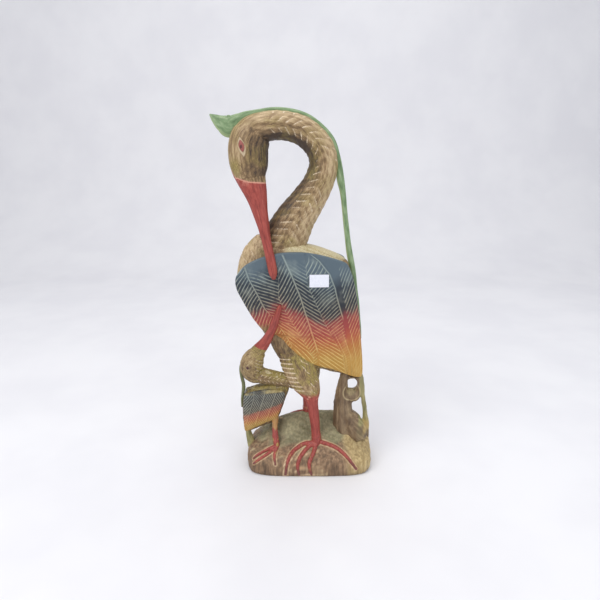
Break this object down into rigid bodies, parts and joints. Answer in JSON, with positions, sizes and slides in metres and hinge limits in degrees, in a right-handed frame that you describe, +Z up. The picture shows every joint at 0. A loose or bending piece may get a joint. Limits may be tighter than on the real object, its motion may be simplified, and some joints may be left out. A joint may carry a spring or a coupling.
{
  "type": "carved wooden crane figure",
  "caption": "Carved and painted wooden crane preening its back, with a chick at its feet and a pierced stump, on a rounded mound with a flat base.",
  "frame": {"origin": "middle of the mound's flat underside, at the surface it stands on", "axes": "+Z up, -Y towards the side that is seen in front, +X towards the stump"},
  "size_m": [0.1684, 0.0799, 0.3834],
  "materials": {
    "stained_wood": "brown stain, rubbed pale on the carved notches, satin lacquer",
    "coral_paint": "coral red paint, satin lacquer",
    "green_paint": "leaf green paint, worn, satin lacquer",
    "wing_paint": "blue to red to yellow sprayed paint with pale scratched feather lines, satin lacquer",
    "leg_paint": "brown stained thigh over a coral red shank, satin lacquer",
    "mound_wood": "moss green wash over brown stain, satin lacquer",
    "stump_wood": "brown stain, satin lacquer",
    "label_paper": "blank white self-adhesive label",
    "bare_wood": "bare, unfinished"
  },
  "bodies": {
    "root": {"mother_body": "stained_wood", "mother_neck": "stained_wood", "mother_head": "stained_wood", "mother_beak": "coral_paint", "mother_plume": "green_paint", "mother_wing_near": "wing_paint", "mother_wing_far": "wing_paint", "mother_leg_near": "leg_paint", "mother_leg_far": "leg_paint", "mother_foot_near": "coral_paint", "mother_foot_far": "coral_paint", "chick_body": "stained_wood", "chick_neck": "stained_wood", "chick_head": "stained_wood", "chick_beak": "coral_paint", "chick_plume": "green_paint", "chick_wing_near": "wing_paint", "chick_wing_far": "wing_paint", "chick_leg_near": "coral_paint", "chick_leg_far": "coral_paint", "chick_foot_near": "coral_paint", "chick_foot_far": "coral_paint", "chick_tail_post": "stained_wood", "stump": "stump_wood", "mound": "mound_wood", "price_label": "label_paper", "neck_dowel": "bare_wood", "head_dowel": "bare_wood", "beak_dowel": "bare_wood", "stump_dowel": "bare_wood", "chick_dowel": "bare_wood"}
  },
  "joints": []
}
